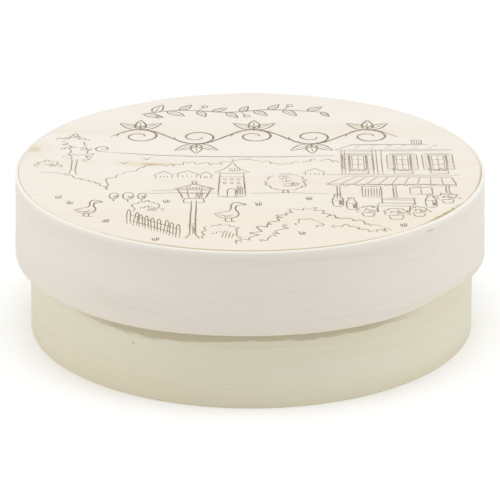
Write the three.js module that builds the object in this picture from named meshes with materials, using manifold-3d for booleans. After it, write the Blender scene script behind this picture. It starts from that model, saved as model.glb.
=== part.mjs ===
// A round poplar box for a soft cheese, closed, with the wrapped cheese inside.
//
// Base and lid are made alike. A strip of veneer is bent into a hoop, its ends lapped over
// each other and stapled, and a thin disc is glued into one end of it. The lid slides down
// over the base until its disc rests on the base's rim. The box stands on the rim of its
// base hoop. +Z is up, and the origin is on the base's axis, on the surface it stands on.

import * as THREE from "three";
import { mergeVertices } from "three/addons/utils/BufferGeometryUtils.js";
import Module from "manifold-3d";

// Driving dimensions, in millimetres.
const BASE_DIAMETER = 109.7; // outside the base hoop, at its foot
const BASE_HEIGHT = 38.7; // of the base hoop's strip
const LID_HEIGHT = 20.7; // of the lid hoop's strip
const BASE_VENEER = 0.8; // thickness of the base strip
const LID_VENEER = 0.8; // thickness of the lid strip
const DISC_THICKNESS = 1.5;
const BASE_RECESS = 0.5; // from the base hoop's foot up to its disc
const LID_RECESS = 0.1; // from the lid hoop's rim down to its disc
const DISC_CHAMFER = 0.25; // the discs' sanded edges
const LID_CLEARANCE = 2.3; // between the hoops' rims, all round, with the lid centred
const LID_SHIFT = -0.35; // the loose lid has slid this far along X
const LID_FLARE = 0.5; // how far the lid's open edge springs out
const BASE_FLARE = 0.45; // how far the base's foot stands out past its rim
const LAP_LENGTH = 24; // how far a strip's ends lie over each other
const CLIMB_LENGTH = 14; // over which the outer end rises onto the inner one
const LID_SEAM_DEG = 104; // where each lap is, from +X towards +Y
const BASE_SEAM_DEG = 62;

const LID_STAPLES = 2;
const BASE_STAPLES = 3;
const STAPLE_CROWN = 7; // outside length, up and down the hoop
const STAPLE_WIRE = 0.5; // thickness of the flat wire
const STAPLE_WIDTH = 0.9; // width of the flat wire
const STAPLE_CLINCH = 2.4; // how far a leg is bent over inside

const CHEESE_SIDE_ROOM = 1.6; // from the wrapper out to the base hoop's rim
const CHEESE_HEADROOM = 3.5; // from the wrapper up to the lid's disc
const CHEESE_ROUNDING = 6; // radius of the wheel's edges
const PAPER = 0.3; // the folded wrapper's thickness
const PAPER_OPENING = 24; // radius left bare under the wheel

// Clearances between neighbours.
const GLUE_GAP = 0.2; // a disc's edge to its hoop
const REST_GAP = 0.1; // between things that lie on each other
const HOLE_GAP = 0.15; // round a staple's leg

// How finely round shapes are divided, and how near two points count as one.
const ROUND_STEPS = 120;
const EDGE_STEPS = 4;
const SAME_POINT = 0.01;

// Sizes that follow from the ones above. Radii are those of the hoops' upper edges.
const baseRadius = BASE_DIAMETER / 2 - BASE_FLARE;
const baseInside = baseRadius - BASE_VENEER;
const lidInside = baseRadius + LID_CLEARANCE;
const lidRadius = lidInside + LID_VENEER;
const baseFloor = BASE_RECESS + DISC_THICKNESS;
const lidCeiling = BASE_HEIGHT + REST_GAP;
const lidTop = lidCeiling + DISC_THICKNESS + LID_RECESS;
const lidBottom = lidTop - LID_HEIGHT;

const wasm = await Module();
wasm.setup();

// Materials, one for each finish.
const finish = (color, roughness, metalness = 0) =>
  new THREE.MeshStandardMaterial({ color, roughness, metalness });
const paleVeneer = finish(0xe3dfd5, 0.75);
const creamVeneer = finish(0xd9d2b8, 0.75);
const lidBoard = finish(0xf3ecdd, 0.7);
const baseBoard = finish(0xe2d9c0, 0.75);
const steel = finish(0xb4b2ac, 0.35, 1);
const paper = finish(0xf4f2ea, 0.6);
const rind = finish(0xf2ecdc, 0.85);

// A closed geometry as a manifold-3d solid.
function solidFrom(geometry) {
  const bare = geometry.clone();
  bare.deleteAttribute("normal");
  bare.deleteAttribute("uv");
  const merged = mergeVertices(bare);
  return new wasm.Manifold(
    new wasm.Mesh({
      numProp: 3,
      vertProperties: merged.getAttribute("position").array,
      triVerts: new Uint32Array(merged.index.array),
    }),
  );
}

// A manifold-3d solid as a geometry, with a flat normal on each face.
function geometryFrom(solid) {
  const { vertProperties, triVerts } = solid.getMesh();
  const shared = new THREE.BufferGeometry()
    .setAttribute("position", new THREE.BufferAttribute(vertProperties, 3))
    .setIndex(new THREE.BufferAttribute(triVerts, 1));
  const flat = shared.toNonIndexed();
  flat.computeVertexNormals();
  return flat;
}

const polar = (radius, angle) =>
  new THREE.Vector2(radius * Math.cos(angle), radius * Math.sin(angle));

// Points round a hoop from one angle to another, both included.
function stretch(from, to, radiusAt) {
  const turn = to - from;
  const steps = Math.max(1, Math.round((turn * ROUND_STEPS) / (2 * Math.PI)));
  return Array.from({ length: steps + 1 }, (_, i) => {
    const angle = from + (turn * i) / steps;
    return polar(radiusAt(angle), angle);
  });
}

// A closed outline from stretches that meet end to end: points that repeat are dropped.
function outline(...stretches) {
  const points = stretches.flat();
  return points.filter(
    (p, i) => p.distanceTo(points.at(i - 1)) > SAME_POINT,
  );
}

// The plan of a strip bent into a hoop, with the middle of its lap on +X. The inner end
// starts at -lap/2. The outer end climbs onto it just before that, and stops at +lap/2.
function hoopPlan(radius, veneer) {
  const innerEnd = -LAP_LENGTH / 2 / radius;
  const outerEnd = -innerEnd;
  const climbStart = innerEnd - CLIMB_LENGTH / radius;
  const onceRound = climbStart + 2 * Math.PI;
  const rise = (angle) =>
    veneer * THREE.MathUtils.smoothstep(angle, climbStart, innerEnd);
  const outside = outline(
    stretch(climbStart, innerEnd, (angle) => radius + rise(angle)),
    stretch(innerEnd, outerEnd, () => radius + veneer),
    stretch(outerEnd, onceRound, () => radius),
  );
  const inside = outline(
    stretch(climbStart, innerEnd, (angle) => radius - veneer + rise(angle)),
    stretch(innerEnd, onceRound, () => radius - veneer),
  );
  const plan = new THREE.Shape(outside);
  plan.holes.push(new THREE.Path(inside));
  return plan;
}

// A staple's outline in the plane of the hoop's axis: x outwards, y up, centred on the
// crown. `from` and `to` are the inner and outer faces of what it holds together.
function stapleOutline(from, to) {
  const half = STAPLE_CROWN / 2;
  const leg = half - STAPLE_WIRE;
  const clinched = half - STAPLE_CLINCH;
  const outer = to + REST_GAP;
  const inner = from - REST_GAP;
  return new THREE.Shape(
    [
      [outer + STAPLE_WIRE, -half],
      [outer + STAPLE_WIRE, half],
      [inner - STAPLE_WIRE, half],
      [inner - STAPLE_WIRE, clinched],
      [inner, clinched],
      [inner, leg],
      [outer, leg],
      [outer, -leg],
      [inner, -leg],
      [inner, -clinched],
      [inner - STAPLE_WIRE, -clinched],
      [inner - STAPLE_WIRE, -half],
    ].map(([x, y]) => new THREE.Vector2(x, y)),
  );
}

// The flat wire, bent to that outline and set upright at its height on the hoop.
function stapleGeometry(radius, veneer, height) {
  return new THREE.ExtrudeGeometry(
    stapleOutline(radius - veneer, radius + veneer),
    { depth: STAPLE_WIDTH, bevelEnabled: false },
  )
    .translate(0, 0, -STAPLE_WIDTH / 2)
    .rotateX(Math.PI / 2)
    .translate(0, 0, height);
}

// The two holes that a staple's legs pass through.
function legHoles(radius, veneer, height) {
  const leg = (STAPLE_CROWN - STAPLE_WIRE) / 2;
  return [-leg, leg].map((offset) =>
    solidFrom(
      new THREE.BoxGeometry(
        4 * veneer,
        STAPLE_WIDTH + 2 * HOLE_GAP,
        STAPLE_WIRE + 2 * HOLE_GAP,
      ).translate(radius, 0, height + offset),
    ),
  );
}

// Evenly spaced heights for `count` staples between two levels of a hoop.
const stapleHeights = (count, from, to) =>
  Array.from({ length: count }, (_, i) => from + ((to - from) * (i + 0.5)) / count);

// How far a hoop's wall stands out at height z: nothing at its top, `flare` at its foot.
const flareAt = (z, height, flare) => flare * (1 - z / height);

// Moves what is on the wall of a hoop outwards with it.
function lean(geometry, height, flare) {
  const position = geometry.getAttribute("position");
  const p = new THREE.Vector3();
  for (let i = 0; i < position.count; i++) {
    p.fromBufferAttribute(position, i);
    const out = flareAt(p.z, height, flare);
    const radius = Math.hypot(p.x, p.y);
    p.x += (p.x / radius) * out;
    p.y += (p.y / radius) * out;
    position.setXYZ(i, p.x, p.y, p.z);
  }
  return geometry;
}

// A hoop and its staples, as a group turned so that the lap is at `seamDeg`. `clear` is
// the span of its inner wall that no disc is in the way of.
function bentHoop({ name, radius, veneer, height, flare, seamDeg, staples, clear, material }) {
  const heights = stapleHeights(staples, ...clear);
  const strip = new THREE.ExtrudeGeometry(hoopPlan(radius, veneer), {
    depth: height,
    bevelEnabled: false,
  });
  const drilled = heights
    .flatMap((z) => legHoles(radius, veneer, z))
    .reduce((solid, hole) => solid.subtract(hole), solidFrom(strip));
  const hoop = new THREE.Mesh(lean(geometryFrom(drilled), height, flare), material);
  hoop.name = `${name}_hoop`;

  const group = new THREE.Group();
  group.add(hoop);
  heights.forEach((z, i) => {
    const wire = lean(stapleGeometry(radius, veneer, z), height, flare);
    const staple = new THREE.Mesh(wire, steel);
    staple.name = `${name}_staple_${i + 1}`;
    group.add(staple);
  });
  group.rotation.z = THREE.MathUtils.degToRad(seamDeg);
  return group;
}

// A profile of [radius, height] pairs, turned about Z.
const turned = (profile) =>
  new THREE.LatheGeometry(
    profile.map(([r, z]) => new THREE.Vector2(r, z)),
    ROUND_STEPS,
  ).rotateX(Math.PI / 2);

// A thin disc with sanded edges, its lower face at z = 0.
function disc(name, radius, material) {
  const c = DISC_CHAMFER;
  const mesh = new THREE.Mesh(
    turned([
      [0, 0],
      [radius - c, 0],
      [radius, c],
      [radius, DISC_THICKNESS - c],
      [radius - c, DISC_THICKNESS],
      [0, DISC_THICKNESS],
    ]),
    material,
  );
  mesh.name = name;
  return mesh;
}

// A quarter round of a profile, about (r, z), from one angle to the next quarter.
function quarter(r, z, radius, fromDeg) {
  return Array.from({ length: EDGE_STEPS + 1 }, (_, i) => {
    const angle = THREE.MathUtils.degToRad(fromDeg + (90 * i) / EDGE_STEPS);
    return [r + radius * Math.cos(angle), z + radius * Math.sin(angle)];
  });
}

// The wheel's side, from under its rounded lower edge up over the top one, grown by `by`.
function wheelSide(radius, height, by) {
  const r = radius - CHEESE_ROUNDING;
  return [
    ...quarter(r, CHEESE_ROUNDING, CHEESE_ROUNDING + by, -90),
    ...quarter(r, height - CHEESE_ROUNDING, CHEESE_ROUNDING + by, 0),
  ];
}

// The base: its disc inside the foot of its hoop.
const base = new THREE.Group();
const footInside = baseInside + flareAt(baseFloor, BASE_HEIGHT, BASE_FLARE);
const baseDisc = disc("base_disc", footInside - GLUE_GAP, baseBoard);
baseDisc.position.z = BASE_RECESS;
base.add(
  baseDisc,
  bentHoop({
    name: "base",
    radius: baseRadius,
    veneer: BASE_VENEER,
    height: BASE_HEIGHT,
    flare: BASE_FLARE,
    seamDeg: BASE_SEAM_DEG,
    staples: BASE_STAPLES,
    clear: [baseFloor, BASE_HEIGHT],
    material: creamVeneer,
  }),
);

// The lid: its disc inside the top of its hoop, resting on the base's rim.
const lid = new THREE.Group();
const lidDisc = disc("lid_disc", lidInside - GLUE_GAP, lidBoard);
lidDisc.position.z = lidCeiling - lidBottom;
lid.add(
  lidDisc,
  bentHoop({
    name: "lid",
    radius: lidRadius,
    veneer: LID_VENEER,
    height: LID_HEIGHT,
    flare: LID_FLARE,
    seamDeg: LID_SEAM_DEG,
    staples: LID_STAPLES,
    clear: [0, lidCeiling - lidBottom],
    material: paleVeneer,
  }),
);
lid.position.set(LID_SHIFT, 0, lidBottom);

// The cheese and its wrapper, on the base's disc.
const contents = new THREE.Group();
const skin = PAPER + REST_GAP; // from the wheel's surface to the outside of the paper
const wheelRadius = baseInside - CHEESE_SIDE_ROOM - skin;
const wheelHeight = lidCeiling - CHEESE_HEADROOM - baseFloor - REST_GAP - 2 * skin;

const wheel = new THREE.Mesh(
  turned([[0, 0], ...wheelSide(wheelRadius, wheelHeight, 0), [0, wheelHeight]]),
  rind,
);
wheel.name = "cheese_wheel";

// The wrapper covers the top and side, and is folded in under the wheel's foot.
const wrapper = new THREE.Mesh(
  turned([
    [PAPER_OPENING, -skin],
    ...wheelSide(wheelRadius, wheelHeight, skin),
    [0, wheelHeight + skin],
    [0, wheelHeight + REST_GAP],
    ...wheelSide(wheelRadius, wheelHeight, REST_GAP).reverse(),
    [PAPER_OPENING, -REST_GAP],
    [PAPER_OPENING, -skin],
  ]),
  paper,
);
wrapper.name = "wrapping_paper";
contents.add(wheel, wrapper);
contents.position.z = baseFloor + REST_GAP + skin;

const box = new THREE.Group();
box.add(base, lid, contents);

export default box;
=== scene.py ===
# %% [markdown]
# # A round veneer box for a soft cheese
#
# The box is made of a few thin pieces of poplar. Two strips of veneer are bent into hoops,
# and each has a thin board glued into one end. The narrow hoop is the base, the wide one
# is the lid, and a drawing is printed on the lid's board. A wrapped cheese fills the box.
#
# The CAD model gives the sizes and the places. This script keeps them, and makes each
# piece again with what CAD leaves out: rounded edges, cut fibres, grain and ink.
#
# Each cell makes one piece or one finish. Lengths are in metres, so MM turns millimetres
# into Blender's units.

# %% Load the frame
import math
import random

import bmesh
import bpy
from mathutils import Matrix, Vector, noise


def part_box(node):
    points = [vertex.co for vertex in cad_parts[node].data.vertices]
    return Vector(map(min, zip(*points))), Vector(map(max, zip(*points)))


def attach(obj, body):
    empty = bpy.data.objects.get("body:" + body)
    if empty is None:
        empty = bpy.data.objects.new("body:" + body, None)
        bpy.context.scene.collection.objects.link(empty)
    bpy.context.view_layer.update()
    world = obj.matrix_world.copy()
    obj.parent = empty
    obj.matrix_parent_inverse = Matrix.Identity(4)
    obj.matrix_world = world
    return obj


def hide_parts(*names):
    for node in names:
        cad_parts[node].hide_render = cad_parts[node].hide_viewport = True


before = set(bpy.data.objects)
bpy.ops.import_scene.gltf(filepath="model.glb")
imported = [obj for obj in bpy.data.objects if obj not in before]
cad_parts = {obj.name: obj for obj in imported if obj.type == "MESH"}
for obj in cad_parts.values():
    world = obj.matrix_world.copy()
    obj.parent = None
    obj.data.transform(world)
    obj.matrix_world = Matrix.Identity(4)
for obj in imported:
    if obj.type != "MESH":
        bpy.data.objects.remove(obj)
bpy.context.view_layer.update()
scene = bpy.context.scene
MM = 0.001

print("CAD nodes:", ", ".join(sorted(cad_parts)))

# %% [markdown]
# ## Sizes
#
# A hoop's box gives its height and how far it reaches. The seams are on the far side
# (+Y), where the lapped ends make the box a little larger, so radii are taken from the
# boards instead, which are true circles inside their hoops.
#
# The two hoops are described by the same few numbers, so one recipe can bend both.

# %% Sizes from the frame
VENEER = 0.8 * MM
GLUE_GAP = 0.2 * MM
LAP = 24 * MM
CLIMB = 14 * MM


def board_circle(node):
    """The centre, radius, floor and top of a round board."""
    low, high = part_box(node)
    middle = (low + high) / 2
    return middle, (high.x - low.x) / 2, low.z, high.z


lid_middle, lid_board_radius, lid_board_floor, lid_board_top = board_circle("lid_disc")
base_middle, base_board_radius, base_board_floor, base_board_top = board_circle("base_disc")

LID = {
    "node": "lid_hoop",
    "axis": Vector((lid_middle.x, lid_middle.y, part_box("lid_hoop")[0].z)),
    "height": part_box("lid_hoop")[1].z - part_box("lid_hoop")[0].z,
    "inside": lid_board_radius + GLUE_GAP,
    "flare": 0.5 * MM,
    "seam": math.radians(104),
}
BASE = {
    "node": "base_hoop",
    "axis": Vector((base_middle.x, base_middle.y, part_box("base_hoop")[0].z)),
    "height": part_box("base_hoop")[1].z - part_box("base_hoop")[0].z,
    "inside": base_board_radius + GLUE_GAP,
    "flare": 0.45 * MM,
    "seam": math.radians(62),
}
BASE["inside"] -= BASE["flare"] * (1 - base_board_top / BASE["height"])
box_height = LID["axis"].z + LID["height"]
for hoop in (LID, BASE):
    print(f"{hoop['node']}: {hoop['height'] / MM:.1f} mm high, {hoop['inside'] * 2 / MM:.1f} mm inside")

# %% [markdown]
# ## Camera
#
# A long lens from 80 centimetres away, looking down at about 21 degrees, keeps the
# ellipse of the lid calm, as in a catalogue picture. The camera is aimed slightly
# below the box's middle, so that the box sits a little above the middle of the frame.

# %% Camera
ELEVATION = math.radians(21.25)
DISTANCE = 0.805
AIM_BELOW = math.radians(0.115)

lens = bpy.data.cameras.new("camera")
lens.lens = 234
lens.sensor_width = 36
lens.clip_end = 10
camera = bpy.data.objects.new("camera", lens)
look_at = Vector((LID["axis"].x, LID["axis"].y, box_height / 2))
step_back = Vector((0, -math.cos(ELEVATION), math.sin(ELEVATION)))
camera.location = look_at + DISTANCE * step_back
camera.rotation_euler = (math.pi / 2 - ELEVATION - AIM_BELOW, 0, 0)
scene.collection.objects.link(camera)
scene.camera = camera

# %% [markdown]
# ## Studio
#
# Soft light from all round suits pale wood: a bright room, a large panel overhead and one
# panel on each side. The side panels make the hoops lighter towards their edges, which is
# what lets the eye read them as round. The floor is plain and nearly white.

# %% Studio
ROOM_BRIGHTNESS = 0.41
SIDE_POWER = 2.7
TOP_POWER = 5.5
KEY_POWER = 0.28

scene.view_settings.view_transform = "Standard"
world = bpy.data.worlds.new("studio")
scene.world = world
world.use_nodes = True
world.node_tree.nodes["Background"].inputs["Color"].default_value = (1, 1, 1, 1)
world.node_tree.nodes["Background"].inputs["Strength"].default_value = ROOM_BRIGHTNESS


def panel(name, place, size, power):
    """A square soft panel at `place`, facing the box."""
    lamp = bpy.data.lights.new(name, "AREA")
    lamp.size = size
    lamp.energy = power
    holder = bpy.data.objects.new(name, lamp)
    holder.location = place
    holder.rotation_euler = (-Vector(place)).to_track_quat("-Z", "Y").to_euler()
    scene.collection.objects.link(holder)


panel("panel_top", (0, 0.0, 1.1), 0.8, TOP_POWER)
panel("panel_key", (-0.12, -0.75, 0.95), 0.14, KEY_POWER)
panel("panel_left", (-1.0, -0.1, 0.45), 0.8, SIDE_POWER)
panel("panel_right", (1.0, -0.1, 0.45), 0.8, SIDE_POWER)


# %% [markdown]
# ## Writing nodes as Python
#
# Node trees are easier to read as expressions. A `Wire` is one output of a node, and
# Python's arithmetic on it adds Math nodes. A `Tree` adds any other node: its type, then
# its settings, then the values or wires that go into its sockets. The same two classes
# serve for materials and for Geometry Nodes.

# %% Wires and trees
class Wire:
    """An output of a node, which Python's own operators work on."""

    def __init__(self, tree, socket):
        self.tree = tree
        self.socket = socket

    def output(self, name):
        """Another output of the same node."""
        return Wire(self.tree, self.socket.node.outputs[name])

    def maths(self, operation, *others):
        """A Math node whose first value is this wire."""
        return self.tree.maths(operation, self, *others)

    def __add__(self, other):
        return self.maths("ADD", other)

    def __sub__(self, other):
        return self.maths("SUBTRACT", other)

    def __mul__(self, other):
        return self.maths("MULTIPLY", other)

    def __truediv__(self, other):
        return self.maths("DIVIDE", other)

    def __pow__(self, other):
        return self.maths("POWER", other)

    def __rsub__(self, other):
        return self.tree.maths("SUBTRACT", other, self)

    __radd__ = __add__
    __rmul__ = __mul__


class Tree:
    """A node tree to which nodes are added in one line each."""

    def __init__(self, group):
        self.group = group

    def add(self, kind, settings=None, sockets=None, out=0):
        """Adds a node, and gives the wire of one of its outputs."""
        node = self.group.nodes.new(kind)
        for name, value in (settings or {}).items():
            setattr(node, name, value)
        for key, value in (sockets or {}).items():
            if isinstance(value, Wire):
                self.group.links.new(value.socket, node.inputs[key])
            else:
                node.inputs[key].default_value = value
        return Wire(self, node.outputs[out])

    def maths(self, operation, *values):
        """A Math node, from its values in order."""
        return self.add("ShaderNodeMath", {"operation": operation}, dict(enumerate(values)))

    def split(self, vector):
        """The three parts of a vector, as three wires."""
        parts = self.add("ShaderNodeSeparateXYZ", {}, {0: vector})
        return parts, parts.output("Y"), parts.output("Z")

    def join(self, x, y, z):
        """A vector from its three parts."""
        return self.add("ShaderNodeCombineXYZ", {}, {0: x, 1: y, 2: z})

    def vector(self, operation, *values):
        """A Vector Math node, from its values in order."""
        return self.add("ShaderNodeVectorMath", {"operation": operation}, dict(enumerate(values)))

    def scaled(self, vector, by):
        """A vector made longer or shorter."""
        return self.add("ShaderNodeVectorMath", {"operation": "SCALE"}, {0: vector, "Scale": by})

    def sweep(self, path, section, size=1.0):
        """A section swept along a path, with its ends closed."""
        sockets = {"Curve": path, "Profile Curve": section, "Scale": size, "Fill Caps": True}
        return self.add("GeometryNodeCurveToMesh", {}, sockets)

    def keep(self, name, geometry, value):
        """Stores a number on each point of a geometry, under a name."""
        sockets = {0: geometry, "Name": name, "Value": value}
        return self.add("GeometryNodeStoreNamedAttribute", {}, sockets)

    def recall(self, name):
        """Reads a number that was stored on the points."""
        return self.add("GeometryNodeInputNamedAttribute", {}, {"Name": name})

    def read(self, name):
        """In a material, reads a number that was stored on the points."""
        return self.add("ShaderNodeAttribute", {"attribute_name": name}, {}, "Fac")

    def place(self):
        """In a material, where a point lies on its own object."""
        return self.add("ShaderNodeTexCoord", {}, {}, "Object")

    def blend(self, share, first, second):
        """Mixes two colours: all of the first at 0, all of the second at 1."""
        return self.add("ShaderNodeMix", {"data_type": "RGBA"}, {0: share, 6: first, 7: second}, 2)

    def relief(self, height, strength, distance):
        """The normals of a surface that `height` raises by up to `distance`."""
        sockets = {"Strength": strength, "Distance": distance, "Height": height}
        return self.add("ShaderNodeBump", {}, sockets)

    def rise(self, value, start, end):
        """0 below `start`, 1 above `end`, and smooth between them."""
        smooth = {"interpolation_type": "SMOOTHSTEP"}
        return self.add("ShaderNodeMapRange", smooth, {0: value, 1: start, 2: end})

    def noise(self, at, scale=1.0, detail=2.0, roughness=0.5, seed=0.0):
        """Smooth random values from 0 to 1, with 0.5 in the middle."""
        sockets = {"Vector": at, "W": seed, "Scale": scale, "Detail": detail, "Roughness": roughness}
        return self.add("ShaderNodeTexNoise", {"noise_dimensions": "4D"}, sockets)


# %% [markdown]
# ## Running a Geometry Nodes tree
#
# A tree is made with named inputs, run once on an object through a modifier, and its
# result is kept as a plain mesh. A modifier's inputs are set by each socket's identifier.

# %% Geometry trees
SOCKET_TYPES = {float: "NodeSocketFloat", int: "NodeSocketInt"}
SHARP_ANGLE = math.radians(50)


def geometry_tree(name, inputs):
    """A new tree, with a wire for each input. None stands for a material."""
    group = bpy.data.node_groups.new(name, "GeometryNodeTree")
    group.interface.new_socket("Geometry", in_out="INPUT", socket_type="NodeSocketGeometry")
    group.interface.new_socket("Geometry", in_out="OUTPUT", socket_type="NodeSocketGeometry")
    for label, value in inputs.items():
        kind = SOCKET_TYPES.get(type(value), "NodeSocketMaterial")
        socket = group.interface.new_socket(label, in_out="INPUT", socket_type=kind)
        if value is not None:
            socket.default_value = value
    tree = Tree(group)
    entry = group.nodes.new("NodeGroupInput")
    wires = {socket.name: Wire(tree, socket) for socket in entry.outputs if socket.name}
    return tree, wires


def finish_tree(tree, geometry, material):
    """Ends a tree: instances are made real, and the material is set."""
    real = tree.add("GeometryNodeRealizeInstances", {}, {0: geometry})
    painted = tree.add("GeometryNodeSetMaterial", {}, {"Geometry": real, "Material": material})
    exit_node = tree.group.nodes.new("NodeGroupOutput")
    tree.group.links.new(painted.socket, exit_node.inputs[0])
    return tree.group


def volume(mesh):
    """The volume inside a mesh: negative if its faces point inwards."""
    shape = bmesh.new()
    shape.from_mesh(mesh)
    inside = shape.calc_volume(signed=True)
    shape.free()
    return inside


def piece_of(mesh):
    """Puts a finished mesh in the scene, shaded smooth except over its sharp edges."""
    mesh.shade_smooth()
    mesh.set_sharp_from_angle(angle=SHARP_ANGLE)
    piece = bpy.data.objects.new(mesh.name, mesh)
    scene.collection.objects.link(piece)
    print(f"{mesh.name}: {len(mesh.polygons)} faces, {volume(mesh) / MM**3:.0f} mm3")
    return piece


def piece_of_shape(name, shape, finish):
    """Puts a shape that was built face by face in the scene."""
    mesh = bpy.data.meshes.new(name)
    shape.to_mesh(mesh)
    shape.free()
    mesh.materials.append(finish)
    return piece_of(mesh)


def run_tree(group, name, values, start):
    """Runs a tree on the data `start`, with its inputs set, and keeps the result as a plain mesh."""
    holder = bpy.data.objects.new(name + "_holder", start)
    scene.collection.objects.link(holder)
    modifier = holder.modifiers.new("make", "NODES")
    modifier.node_group = group
    for item in group.interface.items_tree:
        if item.in_out == "INPUT" and item.name in values:
            modifier[item.identifier] = values[item.name]
    evaluated = holder.evaluated_get(bpy.context.evaluated_depsgraph_get())
    mesh = bpy.data.meshes.new_from_object(evaluated)
    mesh.name = name
    bpy.data.objects.remove(holder)
    return piece_of(mesh)


# %% [markdown]
# ## Bending a strip of veneer
#
# A hoop is a flat strip bent round until its ends lie over each other. In Blender that is
# a section swept along a path. The section is drawn once, upright, with its corners
# slightly worn and extra points near its edges, where the knife left them uneven. The
# path is a circle whose end climbs by one thickness, so that it passes outside the start.
#
# The sweep alone would be too perfect, so the tree then moves each point a little: the
# wall leans out towards its foot, bulges in and out by a tenth of a millimetre, and its
# lower edge rises and dips. The same tree bends both hoops, from different numbers.
#
# It also leaves three measurements on the mesh for the material: how far along the strip
# a point is, how high it is, and how far through the thickness.

# %% The strip's section
CORNER = 0.3 * MM
NEAR_EDGE = (0.3 * MM, 0.8 * MM, 1.8 * MM, 3.4 * MM)


def arc(x, y, wide, high, start, end, steps=12):
    """Part of an ellipse about (x, y), between two angles in degrees."""
    angles = [math.radians(start + (end - start) * i / steps) for i in range(steps + 1)]
    return [(x + wide * math.cos(a), y + high * math.sin(a)) for a in angles]


def curve_of(name, lines, closed=False):
    """A curve from lines, each with its points and its radius."""
    curve = bpy.data.curves.new(name, "CURVE")
    curve.dimensions = "3D"
    for points, radius in lines:
        spline = curve.splines.new("POLY")
        spline.points.add(len(points) - 1)
        spline.use_cyclic_u = closed
        for point, place in zip(spline.points, points):
            point.co = (*place, 1)
            point.radius = radius
    return curve


def strip_section(thickness, height, corner):
    """The closed outline of a strip's section. It hangs down, as a sweep turns Y downwards."""
    low, high, out = corner, height - corner, thickness / 2
    heights = sorted([low + d for d in NEAR_EDGE] + [high - d for d in NEAR_EDGE] + [height / 2])
    outline = []
    for start, x, y in ((-90, out, low), (0, out, high), (90, -out, high), (180, -out, low)):
        inwards = -corner if x > 0 else corner
        outline += arc(x + inwards, y, corner, corner, start, start + 90, 3)
        if start == -90:
            outline += [(out, level) for level in heights]
        if start == 90:
            outline += [(-out, level) for level in reversed(heights)]
    return curve_of("strip_section", [([(x, -y, 0) for x, y in reversed(outline)], 1)], closed=True)


# %% The bending tree
HAIRLINE = 0.05 * MM
EDGE_DEPTH = 7 * MM


def bump_at(angle, place, width):
    """A smooth hill, 1 high, at an angle of the hoop."""
    away = angle - place
    near = (away.maths("COSINE") - 1.0) * (2.0 / width**2)
    return near.maths("EXPONENT")


def bending_tree():
    """Bends a strip round, laps its ends, and wears its edges."""
    sizes = {"Inside": 0.056, "Thickness": VENEER, "Height": 0.02, "Lap": LAP, "Climb": CLIMB}
    places = dict.fromkeys(("Seam", "Dip Angle", "Notch Angle", "Rim Dip Angle"), 0.0)
    amounts = dict.fromkeys(("Flare", "Waver", "Rough Edge", "Dip", "Notch", "Rim Dip", "Seed"), 0.0)
    inputs = {**sizes, **places, **amounts, "Steps": 480, "Finish": None}
    tree, given = geometry_tree("bend a strip", inputs)
    rim = given["Inside"] + given["Thickness"]
    lap_angle = given["Lap"] / rim
    inner_end = lap_angle * -0.5
    climb_end = inner_end + 2 * math.pi

    # The path: a circle that climbs onto its own start.
    line = tree.add("GeometryNodeCurvePrimitiveLine")
    path = tree.add("GeometryNodeResampleCurve", {}, {"Curve": line, "Count": given["Steps"]})
    share = tree.add("GeometryNodeSplineParameter")
    angle = inner_end + share * (lap_angle + 2 * math.pi)
    climb = tree.rise(angle, climb_end - given["Climb"] / rim, climb_end)
    radius = given["Inside"] + given["Thickness"] * 0.5 + climb * (given["Thickness"] + HAIRLINE)
    turned = angle + given["Seam"]
    place = tree.join(radius * turned.maths("COSINE"), radius * turned.maths("SINE"), 0.0)
    path = tree.add("GeometryNodeSetPosition", {}, {"Geometry": path, "Position": place})
    path = tree.add("GeometryNodeSetCurveNormal", {"mode": "Z_UP"}, {"Curve": path})
    path = tree.keep("along", path, angle * rim)

    # The section remembers how high and how far through each of its points is.
    across, down, _ = tree.split(tree.add("GeometryNodeInputPosition"))
    section = tree.keep("up", given["Geometry"], 0.0 - down)
    section = tree.keep("through", section, across)
    strip = tree.sweep(path, section)

    # The wall leans, wavers and has an uneven lower edge.
    along, up = tree.recall("along"), tree.recall("up")
    angle = along / rim + given["Seam"]
    round_trip = tree.join(angle.maths("COSINE"), angle.maths("SINE"), up * 30.0)
    lean = given["Flare"] * (1.0 - up / given["Height"])
    waver = (tree.noise(round_trip, 1.3, 1.0, seed=given["Seed"]) - 0.5) * given["Waver"]
    level = tree.vector("MULTIPLY", tree.add("GeometryNodeInputPosition"), (1, 1, 0))
    outwards = tree.vector("NORMALIZE", level)
    sideways = tree.scaled(outwards, lean + waver)
    dip = bump_at(angle, given["Dip Angle"], 0.32) * given["Dip"]
    notch = bump_at(angle, given["Notch Angle"], 0.24) * given["Notch"]
    rim_dip = bump_at(angle, given["Rim Dip Angle"], 0.42) * given["Rim Dip"]
    nibble = (tree.noise(round_trip, 22.0, 4.0, 0.65, given["Seed"]) - 0.5) * given["Rough Edge"]
    near_foot = 1.0 - tree.rise(up, 0.0, EDGE_DEPTH)
    near_rim = tree.rise(up, given["Height"] - EDGE_DEPTH, given["Height"])
    lift = tree.join(0.0, 0.0, (notch - dip + nibble) * near_foot - rim_dip * near_rim)
    shift = tree.vector("ADD", sideways, lift)
    moved = tree.add("GeometryNodeSetPosition", {}, {"Geometry": strip, "Offset": shift})
    return finish_tree(tree, moved, given["Finish"])


# %% [markdown]
# ## Veneer
#
# Poplar is a plain, pale wood. What tells the eye that it is wood is mostly fine: streaks
# that run with the grain, hair-thin fibres, short dark pores, and wide bands that are a
# little warmer. Each is noise, squeezed across the grain and drawn out along it, at its
# own scale. On a hoop the grain follows the strip, so the noise reads the measurements
# that the bending tree left on the mesh. On a board the grain runs from left to right.

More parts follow.
